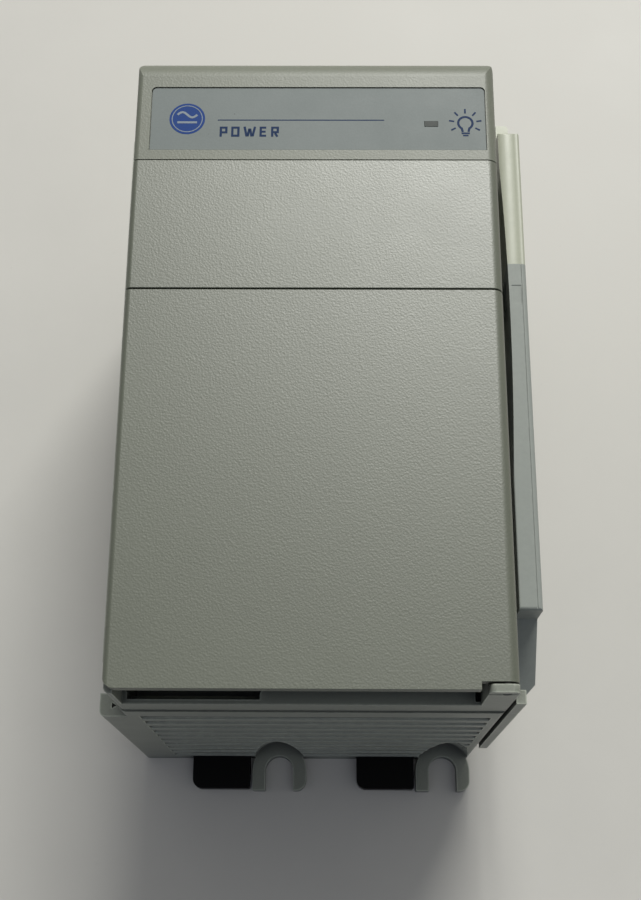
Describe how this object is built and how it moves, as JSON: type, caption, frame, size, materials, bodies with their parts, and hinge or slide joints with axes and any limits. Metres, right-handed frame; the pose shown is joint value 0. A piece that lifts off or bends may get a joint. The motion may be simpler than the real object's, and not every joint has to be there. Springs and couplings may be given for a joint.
{
  "type": "plc power supply module",
  "caption": "Box-shaped plc power supply module with a hinged terminal door, rail latches, panel tabs and a sliding bus lever.",
  "frame": {"origin": "centre line of the mounting rail on the mounting plane, midway between the module's left and right sides", "axes": "+Z out of the mounting plane to the front face, +Y to the nameplate end, +X to the bus slide side; the module lies on its back"},
  "size_m": [0.0773, 0.132, 0.087],
  "materials": {
    "shell": "fine matt grain",
    "door": "fine matt grain",
    "label": "smooth satin",
    "lens": "smoked",
    "led": "clear",
    "lever": "satin",
    "slide": "satin",
    "black": "satin",
    "board": "solder mask",
    "steel": "zinc plated",
    "gold": "gold flashed",
    "deck": "fine matt",
    "block": "satin",
    "card": "printed card",
    "glass_tube": "clear glass with plated ends",
    "red": "gloss",
    "ferrite": "dull",
    "copper": "taped winding",
    "sleeve": "shrink sleeve",
    "aluminium": "extruded",
    "choke": "enamelled wire",
    "film": "moulded box"
  },
  "bodies": {
    "frame": {"rear_housing": "shell", "front_bezel": "shell", "top_cap": "shell", "upper_panel": "door", "hinge_pins": "steel", "nameplate": "label", "status_lens": "lens", "status_led": "led", "status_board": "board", "terminal_deck": "deck", "deck_screws": "steel", "terminal_block": "block", "terminal_clamps": "steel", "terminal_screws": "steel", "fuse_holder": "black", "fuse_cartridge": "glass_tube", "selector_body": "black", "fixed_connector": "black", "bus_pins": "gold", "bus_board": "board", "ground_clip": "steel", "main_board": "board", "board_screws": "steel", "transformer_core": "ferrite", "transformer_coil": "copper", "bulk_capacitors": "sleeve", "heat_sink": "aluminium", "power_transistors": "black", "output_choke": "choke", "output_capacitors": "sleeve", "line_filter": "film"},
    "door": {"terminal_door": "door", "terminal_chart": "card"},
    "bus_slide": {"bus_carriage": "slide", "bus_lever": "lever", "bus_crossbar": "slide", "movable_connector": "black"},
    "latch_ll": {"latch_lower_left": "black"},
    "latch_lr": {"latch_lower_right": "black"},
    "latch_ul": {"latch_upper_left": "black"},
    "latch_ur": {"latch_upper_right": "black"},
    "fuse_knob": {"fuse_cap": "black"},
    "selector": {"selector_slider": "red"}
  },
  "joints": [
    {"name": "door_hinge", "type": "hinge", "parent": "frame", "child": "door", "pos_m": [0.033, 0, 0.085], "axis": [0, 1, 0], "range_deg": [0, 120]},
    {"name": "bus_lock", "type": "slide", "parent": "frame", "child": "bus_slide", "axis": [-1, 0, 0], "range_m": [0, 0.0065]},
    {"name": "latch_lower_left_slide", "type": "slide", "parent": "frame", "child": "latch_ll", "axis": [0, -1, 0], "range_m": [0, 0.003], "stiffness_N_per_m": 400},
    {"name": "latch_lower_right_slide", "type": "slide", "parent": "frame", "child": "latch_lr", "axis": [0, -1, 0], "range_m": [0, 0.003], "stiffness_N_per_m": 400},
    {"name": "latch_upper_left_slide", "type": "slide", "parent": "frame", "child": "latch_ul", "axis": [0, 1, 0], "range_m": [0, 0.003], "stiffness_N_per_m": 400},
    {"name": "latch_upper_right_slide", "type": "slide", "parent": "frame", "child": "latch_ur", "axis": [0, 1, 0], "range_m": [0, 0.003], "stiffness_N_per_m": 400},
    {"name": "fuse_cap_turn", "type": "hinge", "parent": "frame", "child": "fuse_knob", "pos_m": [0.016, -0.04, 0.068], "axis": [0, 0, 1], "range_deg": [-90, 0]},
    {"name": "voltage_select", "type": "slide", "parent": "frame", "child": "selector", "axis": [0, 1, 0], "range_m": [0, 0.006]}
  ]
}
